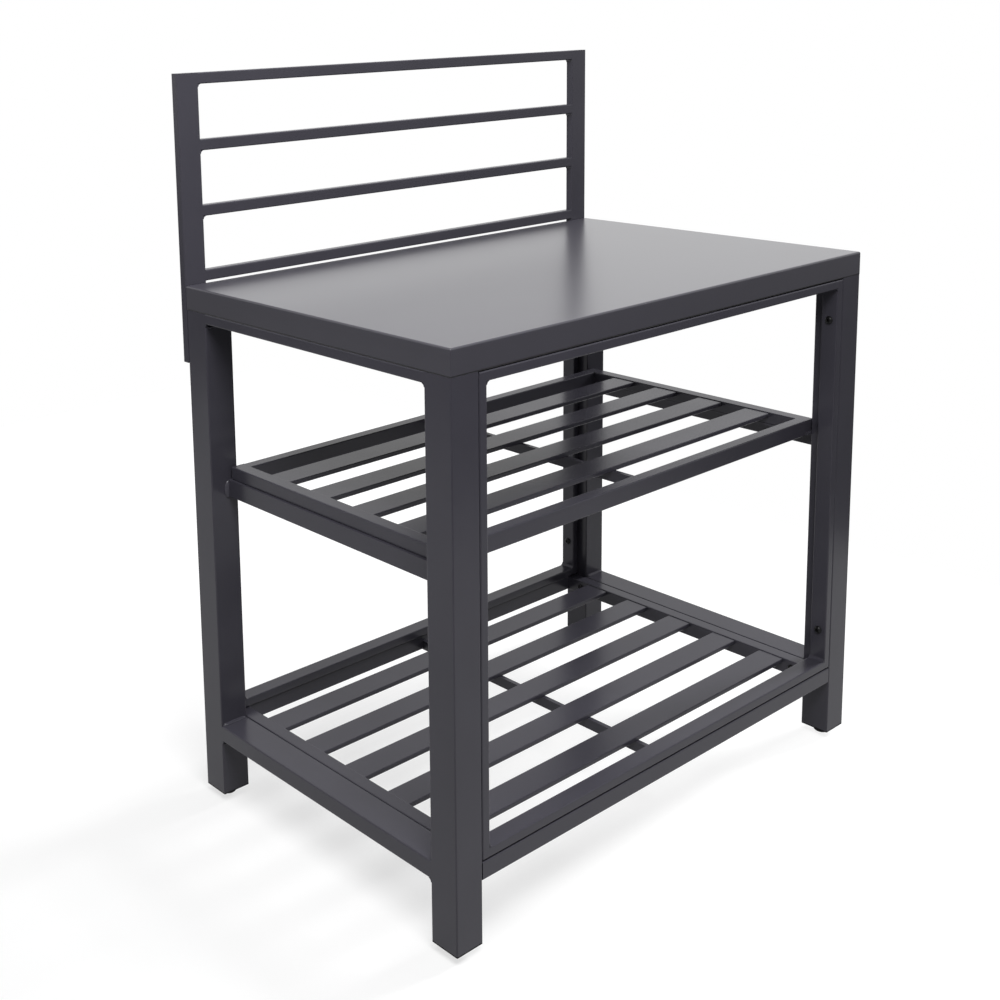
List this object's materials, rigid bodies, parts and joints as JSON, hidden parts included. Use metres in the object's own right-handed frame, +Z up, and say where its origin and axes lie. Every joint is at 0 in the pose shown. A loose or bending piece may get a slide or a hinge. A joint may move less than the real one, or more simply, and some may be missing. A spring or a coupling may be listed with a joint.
{
  "type": "outdoor kitchen prep table",
  "caption": "Free-standing outdoor kitchen prep table: square tube legs, folded metal worktop, slatted middle and lower shelves and a railed backsplash, on levelling feet.",
  "frame": {"origin": "middle of the footprint, on the floor under the feet", "axes": "+X along the width to the right seen from the front, +Y from the front to the backsplash, +Z up"},
  "size_m": [1, 0.6404, 1.25],
  "materials": {
    "powder_coat": "satin powder coat",
    "worktop_coat": "smooth satin powder coat",
    "black_plastic": "matte moulded",
    "foot_plastic": "matte moulded",
    "black_fasteners": "black oxide",
    "zinc_nuts": "zinc plated"
  },
  "bodies": {
    "frame": {"backsplash_bolts": "black_fasteners", "backsplash_rail_1": "powder_coat", "backsplash_rail_2": "powder_coat", "backsplash_rail_3": "powder_coat", "backsplash_rail_4": "powder_coat", "backsplash_upright_left": "powder_coat", "backsplash_upright_right": "powder_coat", "end_bottom_rail_left": "powder_coat", "end_bottom_rail_right": "powder_coat", "end_top_rail_left": "powder_coat", "end_top_rail_right": "powder_coat", "frame_bolts": "black_fasteners", "front_frame_bottom_rail": "powder_coat", "front_frame_stile_left": "powder_coat", "front_frame_stile_right": "powder_coat", "front_frame_top_rail": "powder_coat", "leg_end_caps": "black_plastic", "leg_front_left": "powder_coat", "leg_front_right": "powder_coat", "leg_rear_left": "powder_coat", "leg_rear_right": "powder_coat", "lower_shelf_bolts": "black_fasteners", "lower_shelf_centre_bar": "powder_coat", "lower_shelf_front_rail": "powder_coat", "lower_shelf_left_rail": "powder_coat", "lower_shelf_rear_rail": "powder_coat", "lower_shelf_right_rail": "powder_coat", "lower_shelf_slat_1": "powder_coat", "lower_shelf_slat_2": "powder_coat", "lower_shelf_slat_3": "powder_coat", "lower_shelf_slat_4": "powder_coat", "lower_shelf_slat_5": "powder_coat", "rear_frame_bottom_rail": "powder_coat", "rear_frame_stile_left": "powder_coat", "rear_frame_stile_right": "powder_coat", "rear_frame_top_rail": "powder_coat", "rivet_nuts": "zinc_nuts", "shelf_support_left": "powder_coat", "shelf_support_right": "powder_coat", "worktop": "worktop_coat", "worktop_bolts": "black_fasteners", "worktop_spacers": "black_plastic", "worktop_stiffener_1": "powder_coat", "worktop_stiffener_2": "powder_coat"},
    "mid_shelf": {"mid_shelf_centre_bar": "powder_coat", "mid_shelf_front_rail": "powder_coat", "mid_shelf_left_rail": "powder_coat", "mid_shelf_rear_rail": "powder_coat", "mid_shelf_right_rail": "powder_coat", "mid_shelf_slat_1": "powder_coat", "mid_shelf_slat_2": "powder_coat", "mid_shelf_slat_3": "powder_coat", "mid_shelf_slat_4": "powder_coat"},
    "foot_front_left": {"levelling_foot_front_left": "foot_plastic"},
    "foot_front_right": {"levelling_foot_front_right": "foot_plastic"},
    "foot_rear_left": {"levelling_foot_rear_left": "foot_plastic"},
    "foot_rear_right": {"levelling_foot_rear_right": "foot_plastic"}
  },
  "joints": [
    {"name": "mid_shelf_lift", "type": "slide", "parent": "frame", "child": "mid_shelf", "axis": [0, 0, 1], "range_m": [0, 0.2]},
    {"name": "foot_front_left_level", "type": "slide", "parent": "frame", "child": "foot_front_left", "axis": [0, 0, -1], "range_m": [0, 0.015]},
    {"name": "foot_front_right_level", "type": "slide", "parent": "frame", "child": "foot_front_right", "axis": [0, 0, -1], "range_m": [0, 0.015]},
    {"name": "foot_rear_left_level", "type": "slide", "parent": "frame", "child": "foot_rear_left", "axis": [0, 0, -1], "range_m": [0, 0.015]},
    {"name": "foot_rear_right_level", "type": "slide", "parent": "frame", "child": "foot_rear_right", "axis": [0, 0, -1], "range_m": [0, 0.015]}
  ]
}
